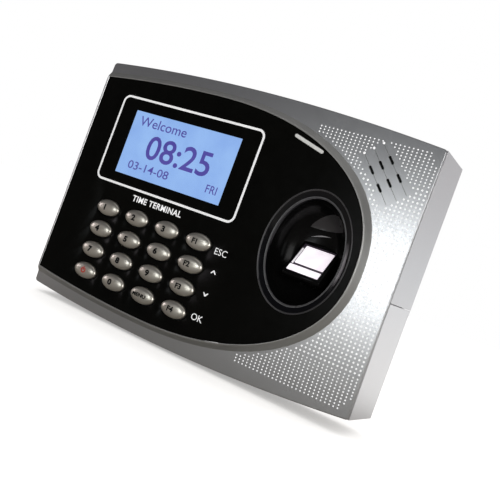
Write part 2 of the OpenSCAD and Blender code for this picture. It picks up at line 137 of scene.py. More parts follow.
def oval(cx, cv, a, b, n=48):
    """Ellipse, anticlockwise."""
    return [(cx + a * cos(2 * pi * i / n), cv + b * sin(2 * pi * i / n)) for i in range(n)]


def stadium(cx, cv, length, width, turn=0.0, n=10):
    """Outline of a bar with round ends, anticlockwise."""
    r, h = width / 2, (length - width) / 2
    bend = [radians(-90 + 180 * i / n) for i in range(n + 1)]
    right = [(h + r * cos(a), r * sin(a)) for a in bend]
    return turned(right + [(-x, -v) for x, v in right], cx, cv, turn)


def rounded_rect(cx, cv, w, h, r, n=8):
    """Rectangle with round corners, anticlockwise."""
    out = []
    for k, (sx, sv) in enumerate([(1, 1), (-1, 1), (-1, -1), (1, -1)]):
        for i in range(n + 1):
            a = radians(90 * k + 90 * i / n)
            out.append((cx + sx * (w / 2 - r) + r * cos(a), cv + sv * (h / 2 - r) + r * sin(a)))
    return out


def at(loop, n):
    """Outline lifted to height n."""
    return [(x, v, n) for x, v in loop]


def back_to_front(loop):
    """Outline with its direction reversed."""
    return list(reversed(loop))


def sides(loops):
    """Every straight side of closed outlines."""
    return [side for loop in loops for side in zip(loop, loop[1:] + loop[:1])]


def inside(borders, x, v):
    """Even-odd test of a point against the sides of closed outlines."""
    odd = False
    for (x0, v0), (x1, v1) in borders:
        if (v0 > v) != (v1 > v) and x < (x1 - x0) * (v - v0) / (v1 - v0) + x0:
            odd = not odd
    return odd


def inner_points(outer, borders, pitch):
    """Staggered points inside outlines, clear of their corners."""
    xs, vs = [p[0] for p in outer], [p[1] for p in outer]
    out, row, x = [], 0, min(xs) + pitch * 0.5
    while x < max(xs):
        v = min(vs) + pitch * (0.5 if row % 2 else 0.9)
        while v < max(vs):
            near = any(abs(x0 - x) < pitch * 0.4 and abs(v0 - v) < pitch * 0.4 for (x0, v0), _ in borders)
            if inside(borders, x, v) and not near:
                out.append((x, v))
            v += pitch
        x += pitch
        row += 1
    return out


WELD = 0.002


class Build:
    """Collects faces in the face frame and makes one object of them."""

    def __init__(self):
        self.verts, self.faces, self.slots = [], [], []

    def add(self, pts, faces, slot=0):
        """Adds points and the faces between them, in one material slot."""
        base = len(self.verts)
        self.verts += [tuple(p) for p in pts]
        self.faces += [[base + i for i in f] for f in faces]
        self.slots += [slot] * len(faces)

    def rows(self, rows, closed=True, slot=0):
        """Skins a list of rows of points; each row has the same number of points."""
        n, pts, faces = len(rows[0]), [p for r in rows for p in r], []
        for j in range(len(rows) - 1):
            for i in range(n if closed else n - 1):
                a, b = j * n + i, j * n + (i + 1) % n
                faces.append([a, b, b + n, a + n])
        self.add(pts, faces, slot)

    def fan(self, ring, tip, slot=0):
        """Closes a ring of points with triangles to its tip."""
        n = len(ring)
        self.add(list(ring) + [tip], [[i, (i + 1) % n, n] for i in range(n)], slot)

    def sheet(self, outer, holes, height, pitch=0, slot=0):
        """Fills an outline, leaving the holes out, and lifts it to height(x, v); pitch adds points inside."""
        loops = [outer] + list(holes)
        borders = sides(loops)
        pts, edges = [], []
        for loop in loops:
            base = len(pts)
            pts += [Vector(p) for p in loop]
            edges += [(base + i, base + (i + 1) % len(loop)) for i in range(len(loop))]
        if pitch:
            pts += [Vector(p) for p in inner_points(outer, borders, pitch)]
        out_v, _, out_f, _, _, _ = delaunay_2d_cdt(pts, edges, [], 0, 1e-5)
        faces = []
        for f in out_f:
            c = sum((out_v[i] for i in f), Vector((0, 0))) / len(f)
            if inside(borders, c.x, c.y):
                a, b, d = (out_v[i] for i in f[:3])
                faces.append(list(f) if (b - a).cross(d - a) > 0 else list(reversed(f)))
        self.add([(p.x, p.y, height(p.x, p.y)) for p in out_v], faces, slot)

    def text(self, words, cx, cv, size, height, lift=0.03, stretch=1.0, bold=0.0, slot=0, align="CENTER",
             space=1.0, curved=False):
        """Flat lettering, its capitals size tall, laid on height(x, v)."""
        curve = bpy.data.curves.new("lettering", "FONT")
        curve.body = words
        curve.align_x = align
        curve.size = size / 0.7
        curve.offset = bold
        curve.space_character = space
        curve.resolution_u = 4
        o = bpy.data.objects.new("lettering", curve)
        bpy.context.scene.collection.objects.link(o)
        bpy.context.view_layer.update()
        mesh = bpy.data.meshes.new_from_object(o.evaluated_get(bpy.context.evaluated_depsgraph_get()))
        bpy.data.objects.remove(o)
        bpy.data.curves.remove(curve)
        bm = bmesh.new()
        bm.from_mesh(mesh)
        bpy.data.meshes.remove(mesh)
        bmesh.ops.remove_doubles(bm, verts=bm.verts, dist=0.004)
        bmesh.ops.triangulate(bm, faces=bm.faces)
        for _ in range(5 if curved else 0):
            long = [e for e in bm.edges if e.calc_length() > 0.45]
            if not long:
                break
            bmesh.ops.subdivide_edges(bm, edges=long, cuts=1)
            bmesh.ops.triangulate(bm, faces=bm.faces)
        bm.verts.index_update()
        bm.normal_update()
        pts = [(cx + p.co.x * stretch, cv + p.co.y - size / 2) for p in bm.verts]
        faces = []
        for f in bm.faces:
            ids = [p.index for p in f.verts]
            if f.normal.z < 0:
                ids.reverse()
            faces.append(ids)
        bm.free()
        self.add([(x, v, height(x, v) + lift) for x, v in pts], faces, slot)

    def make(self, name, body, materials, replaces=(), angle=35):
        """Makes the object: joins points that meet, and keeps edges sharper than angle crisp."""
        mesh = bpy.data.meshes.new(name)
        mesh.from_pydata([(x / 1000, -n / 1000, v / 1000) for x, v, n in self.verts], [], self.faces)
        for m in materials:
            mesh.materials.append(m)
        for p, s in zip(mesh.polygons, self.slots):
            p.material_index = s
            p.use_smooth = True
        mesh.validate()
        bm = bmesh.new()
        bm.from_mesh(mesh)
        bmesh.ops.remove_doubles(bm, verts=bm.verts, dist=WELD / 1000)
        for e in bm.edges:
            if len(e.link_faces) == 2 and e.calc_face_angle(0) > radians(angle):
                e.smooth = False
        bm.to_mesh(mesh)
        bm.free()
        o = bpy.data.objects.new(name, mesh)
        bpy.context.scene.collection.objects.link(o)
        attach(o, body)
        if replaces:
            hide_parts(*replaces)


# ---------- materials ----------


def scaled(colour, k):
    """Colour made k times as bright, up to white."""
    return tuple(min(1, c * k) for c in colour)


class Nodes:
    """A new material with its shader nodes."""

    def __init__(self, name, colour, metallic=0.0, rough=0.4, **more):
        self.m = bpy.data.materials.new(name)
        self.m.use_nodes = True
        self.t = self.m.node_tree
        self.b = self.t.nodes["Principled BSDF"]
        self.b.inputs["Base Color"].default_value = (*colour, 1)
        self.b.inputs["Metallic"].default_value = metallic
        self.b.inputs["Roughness"].default_value = rough
        for k, v in more.items():
            self.b.inputs[k.replace("_", " ")].default_value = v
        self.coord = self.node("ShaderNodeTexCoord").outputs["Object"]

    def node(self, kind, **props):
        n = self.t.nodes.new(kind)
        for k, v in props.items():
            setattr(n, k, v)
        return n

    def link(self, a, b):
        self.t.links.new(a, b)

    def noise(self, scale, detail=4.0, rough=0.55, stretch=None):
        """Noise of scale cells to the metre."""
        n = self.node("ShaderNodeTexNoise")
        n.inputs["Scale"].default_value = scale
        n.inputs["Detail"].default_value = detail
        n.inputs["Roughness"].default_value = rough
        if stretch:
            m = self.node("ShaderNodeMapping")
            m.inputs["Scale"].default_value = stretch
            self.link(self.coord, m.inputs["Vector"])
            self.link(m.outputs["Vector"], n.inputs["Vector"])
        else:
            self.link(self.coord, n.inputs["Vector"])
        return n.outputs["Fac"]

    def ramp(self, source, low, high, a=0.3, b=0.7):
        """Maps a to low and b to high."""
        r = self.node("ShaderNodeMapRange")
        r.inputs["From Min"].default_value, r.inputs["From Max"].default_value = a, b
        r.inputs["To Min"].default_value, r.inputs["To Max"].default_value = low, high
        self.link(source, r.inputs["Value"])
        return r.outputs["Result"]

    def mix(self, source, a, b):
        m = self.node("ShaderNodeMix", data_type="RGBA")
        m.inputs[6].default_value, m.inputs[7].default_value = (*a, 1), (*b, 1)
        self.link(source, m.inputs[0])
        return m.outputs[2]

    def colour(self, source, a, b):
        self.link(self.mix(source, a, b), self.b.inputs["Base Color"])

    def glow(self, source, a, b, strength):
        self.link(self.mix(source, a, b), self.b.inputs["Emission Color"])
        self.b.inputs["Emission Strength"].default_value = strength

    def rough(self, source):
        self.link(source, self.b.inputs["Roughness"])

    def bump(self, source, strength, distance=0.0001, soft_edge=0.0):
        """Fine relief; soft_edge is the radius that edges seem to have."""
        n = self.node("ShaderNodeBump")
        n.inputs["Strength"].default_value = strength
        n.inputs["Distance"].default_value = distance
        self.link(source, n.inputs["Height"])
        if soft_edge:
            e = self.node("ShaderNodeBevel", samples=4)
            e.inputs["Radius"].default_value = soft_edge
            self.link(e.outputs["Normal"], n.inputs["Normal"])
        self.link(n.outputs["Normal"], self.b.inputs["Normal"])


def silver_paint(name, tone, metallic=0.85, rough=0.34, edge=0.0, tint=(1.0, 1.0, 1.01), flake=0.05):
    """Fine metallic paint: flakes vary in brightness and tip slightly."""
    n = Nodes(name, scaled(tint, tone), metallic, rough)
    flakes = n.noise(7000, 2, 0.7)
    n.colour(n.ramp(flakes, 0, 1, 0.25, 0.75), scaled(tint, tone * 0.93), scaled(tint, tone * 1.06))
    n.rough(n.ramp(n.noise(900, 3), rough - 0.03, rough + 0.03))
    n.bump(flakes, flake, 0.00004, edge)
    return n.m


def plastic(name, colour, rough=0.45, grain=1600, depth=0.15, edge=0.0, **more):
    """Moulded plastic: slightly cloudy, with a fine grain."""
    n = Nodes(name, colour, 0.0, rough, **more)
    n.colour(n.ramp(n.noise(120, 5), 0, 1), scaled(colour, 0.88), scaled(colour, 1.12))
    n.rough(n.ramp(n.noise(300, 4), rough - 0.04, rough + 0.06))
    n.bump(n.noise(grain, 3), depth, 0.00005, edge)
    return n.m


def metal(name, colour, rough=0.3, stretch=(1, 1, 1), edge=0.0):
    """Bare metal; stretch draws its grain out into brushed lines."""
    n = Nodes(name, colour, 1.0, rough)
    lines = n.noise(700, 4, 0.6, stretch)
    n.colour(n.ramp(lines, 0, 1), scaled(colour, 0.85), scaled(colour, 1.1))
    n.rough(n.ramp(lines, rough - 0.07, rough + 0.09))
    n.bump(lines, 0.15, 0.00004, edge)
    return n.m


def glossy_black(name, colour, rough, specular, depth=0.02):
    """Polished black plastic, with almost no grain."""
    return plastic(name, colour, rough, 2400, depth, Specular_IOR_Level=specular)


WHITE = (1, 1, 1, 1)
case_silver = silver_paint("case_silver", 0.5, 0.93, 0.31)
wall_silver = silver_paint("wall_silver", 0.68, 0.7, 0.36, 0.0004)
# lighter copy of the wall's silver paint on the port door: painted light below the seam
door_silver_painted_light = silver_paint("door_silver_painted_light", 0.76, 0.7, 0.36, 0.0002)
# darker, warmer copy of the skin's silver paint, used on the band and in the speaker grooves: painted shade
band_silver_painted_shade = silver_paint("band_silver_painted_shade", 0.4, 0.75, 0.44, tint=(1.0, 0.99, 0.95))
key_silver = silver_paint("key_silver", 0.56, 0.92, 0.33, tint=(1.0, 0.945, 0.83), flake=0.02)
# white dots that also glow: the glow is a painted highlight, not a lamp
white_dot_painted_glint = plastic("white_dot_painted_glint", (0.9, 0.9, 0.9), 0.35, Emission_Color=WHITE, Emission_Strength=0.45)
gloss_black = glossy_black("gloss_black", (0.0035, 0.0035, 0.003), 0.2, 0.03)
bowl_black = glossy_black("bowl_black", (0.003, 0.003, 0.003), 0.16, 0.08, 0.03)
ring_black = glossy_black("ring_black", (0.003, 0.003, 0.004), 0.12, 0.25)
# lighter grey on the ring's beads: partly real gloss, partly a painted highlight along the edges
bead_painted_highlight = glossy_black("bead_painted_highlight", (0.05, 0.048, 0.05), 0.3, 0.5)
# lighter grey for the pad in the bowl: painted reflection of the glowing glass
pad_painted_reflection = plastic("pad_painted_reflection", (0.035, 0.033, 0.034), 0.3, 900, 0.4, Specular_IOR_Level=0.4)
# light grey with a faint glow for the rib in the bowl: painted highlight line
rib_painted_highlight = plastic("rib_painted_highlight", (0.3, 0.29, 0.3), 0.3, Emission_Color=WHITE, Emission_Strength=0.05)
bezel_grey = plastic("bezel_grey", (0.06, 0.045, 0.065), 0.3)
# white print with a glow: painted light that brightens the print
white_print_painted_glow = plastic("white_print_painted_glow", (0.85, 0.85, 0.85), 0.5, Emission_Color=WHITE, Emission_Strength=0.3)
print_dark = plastic("print_dark", (0.006, 0.006, 0.007), 0.7, Specular_IOR_Level=0.1)
print_red = plastic("print_red", (0.6, 0.03, 0.02), 0.6, Specular_IOR_Level=0.1)
lens_grey = plastic("lens_grey", (0.55, 0.55, 0.53), 0.35, Emission_Color=(0.9, 0.9, 0.86, 1),
                    Emission_Strength=0.2)
# near-black for gaps and hollows: painted shade
painted_shade_black = plastic("painted_shade_black", (0.008, 0.008, 0.008), 0.8, Specular_IOR_Level=0.1)


def lit_display():
    """Backlit display glass, a little uneven."""
    n = Nodes("lit_display", (0.02, 0.03, 0.1), 0.0, 0.25)
    n.glow(n.ramp(n.noise(60, 5), 0, 1, 0.2, 0.8), (0.25, 0.42, 0.76), (0.35, 0.56, 0.86), 1.0)
    return n.m


def lit_ink():
    """The display's dark dots."""
    n = Nodes("lit_ink", (0.01, 0.01, 0.05), 0.0, 0.3)
    n.glow(n.ramp(n.noise(90, 3), 0, 1), (0.07, 0.055, 0.29), (0.095, 0.075, 0.34), 1.0)
    return n.m


def clear_pane():
    """Thin clear cover: what is behind shows through, with a polished reflection on top."""
    n = Nodes("clear_pane", (0.9, 0.93, 1), 0.0, 0.06)
    see = n.node("ShaderNodeBsdfTransparent")
    see.inputs["Color"].default_value = (0.94, 0.95, 1, 1)
    shine = n.node("ShaderNodeBsdfGlossy")
    n.link(n.ramp(n.noise(500, 3), 0.05, 0.08), shine.inputs["Roughness"])
    fres = n.node("ShaderNodeFresnel")
    fres.inputs["IOR"].default_value = 1.35
    mix = n.node("ShaderNodeMixShader")
    n.link(fres.outputs["Fac"], mix.inputs["Fac"])
    n.link(see.outputs["BSDF"], mix.inputs[1])
    n.link(shine.outputs["BSDF"], mix.inputs[2])
    n.link(mix.outputs["Shader"], n.t.nodes["Material Output"].inputs["Surface"])
    return n.m


def glowing_glass(name, strength):
    """The reader's glass, lit from inside, uneven and a little pink."""
    n = Nodes(name, (0.8, 0.78, 0.8), 0.0, 0.08)
    n.glow(n.ramp(n.noise(110, 5, 0.6), 0, 1, 0.35, 0.65), (0.72, 0.60, 0.70), (1.0, 0.97, 1.0), strength)
    return n.m


display_mat, ink_mat, pane_mat = lit_display(), lit_ink(), clear_pane()
glow_mat, soft_glow = glowing_glass("glowing_glass", 0.74), glowing_glass("soft_glass", 0.35)

by_slot = {
    "case_silver": wall_silver,
    "panel_black": gloss_black,
    "clear_window": pane_mat,
    "light_lens": lens_grey,
    "sensor_glass": glow_mat,
    "key_silver": key_silver,
    "dark_plastic": plastic("dark_plastic", (0.03, 0.03, 0.033), 0.5, edge=0.0002),
    "green_plastic": plastic("green_plastic", (0.05, 0.32, 0.14), 0.45, edge=0.0002),
    "white_plastic": plastic("white_plastic", (0.8, 0.81, 0.85), 0.5),
    "lead_plastic": plastic("lead_plastic", (0.2, 0.2, 0.22), 0.5),
    "ribbon_amber": plastic("ribbon_amber", (0.6, 0.32, 0.1), 0.3),
    "board_green": plastic("board_green", (0.02, 0.17, 0.07), 0.3, 700, 0.3),
    "mat_rubber": plastic("mat_rubber", (0.16, 0.16, 0.17), 0.75),
    "lcd_blue": display_mat,
    "steel": metal("steel", (0.62, 0.62, 0.64), 0.28, (1, 1, 1), 0.0001),
    "bracket_steel": metal("bracket_steel", (0.55, 0.56, 0.58), 0.33, (1, 1, 14), 0.0002),
}
slot_of = {s["node"]: s["material_slot"] for s in frame["record"]["subparts"]}
for name, obj in frame["nodes"].items():
    obj.data.materials.clear()
    obj.data.materials.append(door_silver_painted_light if name == "port_door" else by_slot[slot_of[name]])

# ---------- front skin, band and grooves ----------

FILLET = 0.5  # round on the skin's outer edge
LEDGE = 0.7  # depth of the side lip above the parting line
CORNER = 1.6  # round on the case's four corners
ENDS, ACROSS, DOWN = 5, 96, 60  # steps in a corner, along the top and down a side


def case_outline():
    """Points round the case's outline, clockwise from the top left, each with its outward direction."""
    x0, x1 = LEFT + CORNER, RIGHT - CORNER
    top = []
    for i in range(ACROSS + 1):
        x = x0 + (x1 - x0) * i / ACROSS
        top.append(((x, edge_top(x)), Vector(((x - BOW_X) / BOW_R, 1)).normalized()))
    bottom = [((x, -v), Vector((d.x, -d.y))) for (x, v), d in reversed(top)]
    h0, h1 = edge_top(x0) - CORNER, edge_top(x1) - CORNER
    right = [((RIGHT, h1 - 2 * h1 * i / DOWN), Vector((1, 0))) for i in range(DOWN + 1)]
    left = [((LEFT, -(h0 - 2 * h0 * i / DOWN)), Vector((-1, 0))) for i in range(DOWN + 1)]

    def corner(a, b, x, v):
        turns = [a[1].slerp(b[1], k / (ENDS + 1)) for k in range(1, ENDS + 1)]
        return [((x + CORNER * d.x, v + CORNER * d.y), d) for d in turns]

    return (top + corner(top[-1], right[0], x1, h1) + right + corner(right[-1], bottom[0], x1, -h1)
            + bottom + corner(bottom[-1], left[0], x0, -h0) + left + corner(left[-1], top[0], x0, h0))


OUTLINE = case_outline()
LONG = LEFT + FILLET  # left end of the band's straight part


def inset(d):
    """The case's outline moved inwards by d."""
    return [(x - d * n.x, v - d * n.y) for (x, v), n in OUTLINE]


BAND_TOP = 0.6  # width of the flat top of the bevelled band


def surface(x, v):
    """Height of the front along the case's edge, where the plateau and its band run out to it."""
    s = skin(x, v)
    beyond = abs(v) - band_half(x, 0)
    if x > CREST_X or beyond >= BAND:
        return s
    if beyond <= BAND_TOP:
        return PANEL_N
    return PANEL_N + (s - PANEL_N) * (beyond - BAND_TOP) / (BAND - BAND_TOP)


def edge_row(d, drop):
    """Row of points round the case, d inside its outline and drop below the skin's edge."""
    return [(x, v, surface(*i) - drop) for (x, v), i in zip(inset(d), inset(FILLET))]


def lip_end(x, v):
    """How deep the inner lip reaches: less at the right, above the port door's bay."""
    return 27.5 if x > 86 and v < -1.9 else 20.0


SKIN, BEVEL, INSIDE = range(3)
front = Build()
# outer edge: fillet, side lip and the lip that drops into the rear housing
turns = [radians(15 * k) for k in range(7)]
fillet = [edge_row(FILLET * (1 - sin(a)), FILLET * (1 - cos(a))) for a in turns]
ledge = edge_row(0.0, LEDGE)
front.rows(list(reversed(fillet + [ledge])), slot=SKIN)
# the step and inner lip are near-black: painted shade in the parting gap and inside the case
under = [ledge, edge_row(2.7, LEDGE), [(x, v, lip_end(x, v)) for x, v in inset(2.75)],
         [(x, v, lip_end(x, v)) for x, v in inset(4.1)], [(x, v, skin(x, v) - 2.3) for x, v in inset(4.2)]]
front.rows(list(reversed(under)), slot=INSIDE)

# bevelled band round the panel, from the gap beside the panel down to the skin
GAP = 0.12
inner_side = [(GAP, 33.0), (GAP, 35.86), (0.17, 35.95), (0.27, PANEL_N), (0.5, PANEL_N)]  # growth, height
slope = [(0.66, 0.02), (0.85, 0.07), (1.3, 0.26), (2.0, 0.57), (2.5, 0.80), (2.74, 0.885), (2.86, 0.93),
         (2.96, 0.975), (3.12, 1.0)]  # growth, part of the fall down to the skin
FOOT = slope[-1][0]
band_rows = [at(panel_edge(grow, LONG), n) for grow, n in inner_side]
for grow, fall in slope:
    line = panel_edge(grow, LONG)
    band_rows.append([(x, v, PANEL_N + (skin(x, v) - 0.02 - PANEL_N) * fall) for x, v in line])
front.rows(band_rows, closed=False, slot=BEVEL)

# left end beside the straight edge of the panel
end_half = band_half(LONG, GAP)
ends = [-end_half + 2 * end_half * i / 40 for i in range(41)]
end_line = [(LONG, PANEL_N), (PANEL_LEFT - 0.25, PANEL_N), (PANEL_LEFT - GAP, PANEL_N - 0.12),
            (PANEL_LEFT - GAP, 34.0)]
front.rows([[(x, v, n) for v in ends] for x, n in end_line], closed=False, slot=SKIN)

SLOT_U, SLOT_L, SLOT_W = 4.5, 4.5, 0.58
GROOVE_L, GROOVE_W, GROOVE_DEEP = 13.0, 0.12, 0.3
LINES = (-4.6, 0.0, 4.6)


# speaker: six slots, joined two by two by thin grooves
def at_speaker(pts):
    """Points of the speaker's own grid, turned and set on the skin."""
    return turned(pts, *SPEAKER_AT, SPEAKER_TURN)


def groove_outline(w0):
    """A groove that widens round its two slots."""
    half = [(-GROOVE_L, GROOVE_W)]
    for c in (-SLOT_U, SLOT_U):
        a, b = c - SLOT_L / 2, c + SLOT_L / 2
        half += [(a, GROOVE_W), (a + 0.2, SLOT_W * 0.8), (a + 0.5, SLOT_W)]
        half += [(b - 0.5, SLOT_W), (b - 0.2, SLOT_W * 0.8), (b, GROOVE_W)]
    half.append((GROOVE_L, GROOVE_W))
    loop = half + [(u, -w) for u, w in reversed(half)]
    return at_speaker([(u, w0 + w) for u, w in back_to_front(loop)])


grooves = [groove_outline(w) for w in LINES]

# skin: one outline that runs round the case's edge and back along the foot of the band
foot = panel_edge(FOOT, LONG)
edge = inset(FILLET)


def nearest(v):
    """Index of the point of the case's left edge that is nearest to height v."""
    return min(range(len(edge)), key=lambda i: (edge[i][0] > LONG + 0.01, abs(edge[i][1] - v)))


first, last = nearest(foot[0][1]), nearest(foot[-1][1])
if edge[first][1] <= foot[0][1]:
    first = (first + 1) % len(edge)
if edge[last][1] >= foot[-1][1]:
    last = (last - 1) % len(edge)
path = [edge[(first + i) % len(edge)] for i in range((last - first) % len(edge) + 1)]
front.sheet(path + back_to_front(foot), grooves, skin, pitch=3.0, slot=SKIN)
for loop in grooves:
    front.rows([[(x, v, skin(x, v) - drop) for x, v in loop] for drop in (0.0, GROOVE_DEEP)], slot=BEVEL)
    front.sheet(loop, [], lambda x, v: skin(x, v) - GROOVE_DEEP, slot=BEVEL)
front.make("front_skin", "case", [case_silver, band_silver_painted_shade, painted_shade_black], ["front_housing"],
           angle=32)

# the six slots are dark sheets laid on the groove floors, not holes: painted shade
slots = Build()
for w in LINES:
    for u in (-SLOT_U, SLOT_U):
        slots.sheet(stadium(*at_speaker([(u, w)])[0], SLOT_L - 0.1, 1.1, SPEAKER_TURN), [],
                    lambda x, v: skin(x, v) - GROOVE_DEEP + 0.03)
slots.make("speaker_slots", "case", [painted_shade_black])

# ---------- raised dots ----------


def in_panel(x, v, grow):
    """Whether a point is on the panel, grown by grow."""
    if x <= CREST_X:
        return abs(v) < band_half(x, grow)
    return (abs(x - CREST_X) / (PANEL_A + grow)) ** PANEL_POW + (abs(v) / (PANEL_B + grow)) ** PANEL_POW < 1


def dot(b, x, v, r, tall=0.05):
    """A low round dot."""
    s = skin(x, v)
    rings = []
    for k, h in ((1.0, 0.0), (0.78, 0.62), (0.4, 0.95)):
        rings.append(at(oval(x, v, r * k, r * k, 10), s + tall * h - 0.01))
    b.rows(rings)
    b.fan(rings[-1], (x, v, s + tall))


DOT_STEP, FINE_STEP, DOT_TOP = 1.9, 1.42, 56.2  # row steps near the middle and beyond FINE_FROM
FINE_FROM = 40
dots = Build()
rows_v, v = [], 0.0
while v < DOT_TOP:
    rows_v.append(v)
    v += DOT_STEP if v < FINE_FROM + 1 else FINE_STEP
for v in sorted({s * r for r in rows_v for s in (-1, 1)}):
    limit = RIGHT - 1.2 - max(0.0, abs(v) - 50.8) * 0.8
    x = RIGHT - 1.8
    while x > 30:
        u, w = turned([(x - SPEAKER_AT[0], v - SPEAKER_AT[1])], 0, 0, -SPEAKER_TURN)[0]
        on_speaker = abs(u) < 13.6 and abs(w) < 7.2
        if x < limit and not in_panel(x, v, 4.0) and not on_speaker and (abs(v) < FINE_FROM or x > 34):
            dot(dots, x, v, 0.47 if abs(v) < FINE_FROM else 0.38)
        x -= 2.0
for w in LINES:
    dot(dots, *at_speaker([(-GROOVE_L - 0.2, w)])[0], 0.6, 0.15)
dots.make("skin_dots", "case", [white_dot_painted_glint])

# ---------- black panel and its printing ----------

def level(n):
    """Height function of a flat sheet."""
    return lambda x, v: n


PRINT = 0.06  # how far printing stands off what it is on
KEY_GAP = 0.42
key_centres = [(KEY_AT[0] + c * KEY_DX, KEY_AT[1] - r * KEY_DY) for r in range(4) for c in range(4)]
panel = Build()
key_holes = [back_to_front(oval(x, v, KEY_A + KEY_GAP, KEY_B + KEY_GAP, 48)) for x, v in key_centres]
lcd_hole = back_to_front(rounded_rect(*LCD_AT, LCD_W, LCD_H, 0.25, 3))
lamp_hole = back_to_front(stadium(*LIGHT_AT, 17.1, 1.7, LIGHT_TURN))
bowl_hole = back_to_front(oval(*BOWL_AT, 20.7, 27.2, 96))
side_line = [(0.0, 34.9), (0.0, 35.78), (0.07, 35.93), (0.25, PANEL_N)]
panel_side = [at(panel_edge(-d, PANEL_LEFT + d), n) for d, n in side_line]
outline = [(x, v) for x, v, _ in panel_side[-1]]
panel.sheet(back_to_front(outline), key_holes + [lcd_hole, lamp_hole, bowl_hole], level(PANEL_N))
panel.rows(panel_side)
for x, v in key_centres:
    hole_line = [(KEY_GAP, PANEL_N), (0.34, 35.95), (0.3, 35.85), (0.3, 33.6)]
    panel.rows([at(oval(x, v, KEY_A + gap, KEY_B + gap, 48), n) for gap, n in hole_line])
for hole, depth in ((lcd_hole, 35.9), (lamp_hole, 34.8)):
    panel.rows([at(back_to_front(hole), PANEL_N), at(back_to_front(hole), depth)])
panel.make("black_panel", "case", [gloss_black], ["face_panel"])

printing = Build()
frame_line = [rounded_rect(-32.2, 23.7, 88.7, 46.0, 4.0, 10), rounded_rect(-32.2, 23.7, 86.5, 43.8, 2.9, 10)]
frame_top = PANEL_N + 0.08
printing.rows([at(frame_line[0], PANEL_N), at(frame_line[0], frame_top), at(frame_line[1], frame_top),
               at(frame_line[1], PANEL_N)])
HINTS_X = 11.45
printing.text("ESC", HINTS_X, -13.2, 3.1, level(PANEL_N), lift=PRINT, bold=0.01)
printing.text("OK", HINTS_X, -45.0, 3.1, level(PANEL_N), lift=PRINT, bold=0.01)
arrow = [(-1.5, -0.75), (-1.0, -0.95), (0, 0.0), (1.0, -0.95), (1.5, -0.75), (0.25, 0.85), (-0.25, 0.85)]
printing.sheet([(HINTS_X + x, -22.7 + v) for x, v in arrow], [], level(PANEL_N + PRINT))
printing.sheet([(HINTS_X + x, -33.7 - v) for x, v in back_to_front(arrow)], [], level(PANEL_N + PRINT))
printing.text("TIME TERMINAL", -32.6, -3.0, 2.9, level(PANEL_N), lift=PRINT, bold=0.12, space=1.08)
printing.make("panel_printing", "case", [white_print_painted_glow])

# ---------- display ----------

LCD_N, PANE_N = 35.3, 35.9
display = Build()
x0, x1 = LCD_AT[0] - LCD_W / 2 - 0.6, LCD_AT[0] + LCD_W / 2 + 0.6
v0, v1 = LCD_AT[1] - LCD_H / 2 - 0.6, LCD_AT[1] + LCD_H / 2 + 0.6
across, down = 24, 12
xs = [x0 + (x1 - x0) * i / across for i in range(across + 1)]
vs = [v0 + (v1 - v0) * j / down for j in range(down + 1)]
display.rows([[(x, v, LCD_N) for x in xs] for v in vs], closed=False, slot=0)
for words, x, v, size, align, stretch, bold in (
        ("Welcome", -61.6, 35.6, 4.9, "LEFT", 1.1, 0.03),
        ("08:25", -31.2, 23.8, 12.0, "CENTER", 1.1, 0.2),
        ("03-14-08", -59.6, 12.7, 4.1, "LEFT", 1.26, 0.03),
        ("FRI", -9.7, 12.9, 4.0, "LEFT", 0.95, 0.03)):
    display.text(words, x, v, size, level(LCD_N), slot=1, align=align, stretch=stretch, bold=bold)
display.make("lit_display", "case", [display_mat, ink_mat], ["lcd_glass"])

pane = Build()
pane.rows([[(x0, v0, PANE_N), (x1, v0, PANE_N)], [(x0, v1, PANE_N), (x1, v1, PANE_N)]], closed=False)
pane.make("display_pane", "case", [pane_mat], ["display_window"])

# ---------- keys ----------

KEY_TOP, KEY_BASE, KEY_FOOT = 1.72, 36.2, 32.2
DOME_STEPS = (1.0, 0.998, 0.99, 0.975, 0.95, 0.91, 0.86, 0.79, 0.7, 0.6, 0.5, 0.38, 0.26, 0.12)


def key_height(cx, cv):
    """Height function of the domed key at (cx, cv)."""
    def height(x, v):
        q = min(1.0, sqrt(((x - cx) / KEY_A) ** 2 + ((v - cv) / KEY_B) ** 2))
        return KEY_BASE + KEY_TOP * sqrt(max(0.0, 1 - q**2.7))
    return height


def power_sign(b, cx, cv, height):
    """Open ring with a bar in its gap."""
    turn = [radians(125 + 290 * k / 24) for k in range(25)]
    ring = [(cx + 1.5 * cos(a), cv + 1.5 * sin(a)) for a in turn]
    ring += [(cx + 0.9 * cos(a), cv + 0.9 * sin(a)) for a in reversed(turn)]
    bar = [(cx - 0.3, cv + 0.2 * k) for k in range(10)] + [(cx + 0.3, cv + 0.2 * k) for k in range(9, -1, -1)]
    for loop in (ring, back_to_front(bar)):
        b.sheet(loop, [], lambda x, v: height(x, v) + PRINT, slot=1)


legends = ["1", "2", "3", "F1", "4", "5", "6", "F2", "7", "8", "9", "F3", "power", "0", "MENU", "F4"]
letters = {1: (2.7, 1.2, 0.2), 2: (2.4, 1.1, 0.15), 4: (1.7, 1.25, 0.1)}  # size, stretch, bold by length
for (cx, cv), legend in zip(key_centres, legends):
    key = Build()
    height = key_height(cx, cv)
    rings = [at(oval(cx, cv, KEY_A, KEY_B, 64), KEY_FOOT)]
    for q in DOME_STEPS:
        rings.append([(x, v, height(x, v)) for x, v in oval(cx, cv, KEY_A * q, KEY_B * q, 64)])
    key.rows(rings, slot=0)
    key.fan(rings[-1], (cx, cv, KEY_BASE + KEY_TOP), slot=0)
    if legend == "power":
        power_sign(key, cx, cv, height)
    else:
        size, wide, thick = letters[len(legend)]
        key.text(legend, cx - 1.0, cv - 0.1, size, height, PRINT, wide, thick, slot=1, curved=True)
    node = "key_" + legend.lower()
    ink = print_red if legend == "power" else print_dark
    key.make(node + "_cap", node, [key_silver, ink], [node])

# ---------- status light ----------

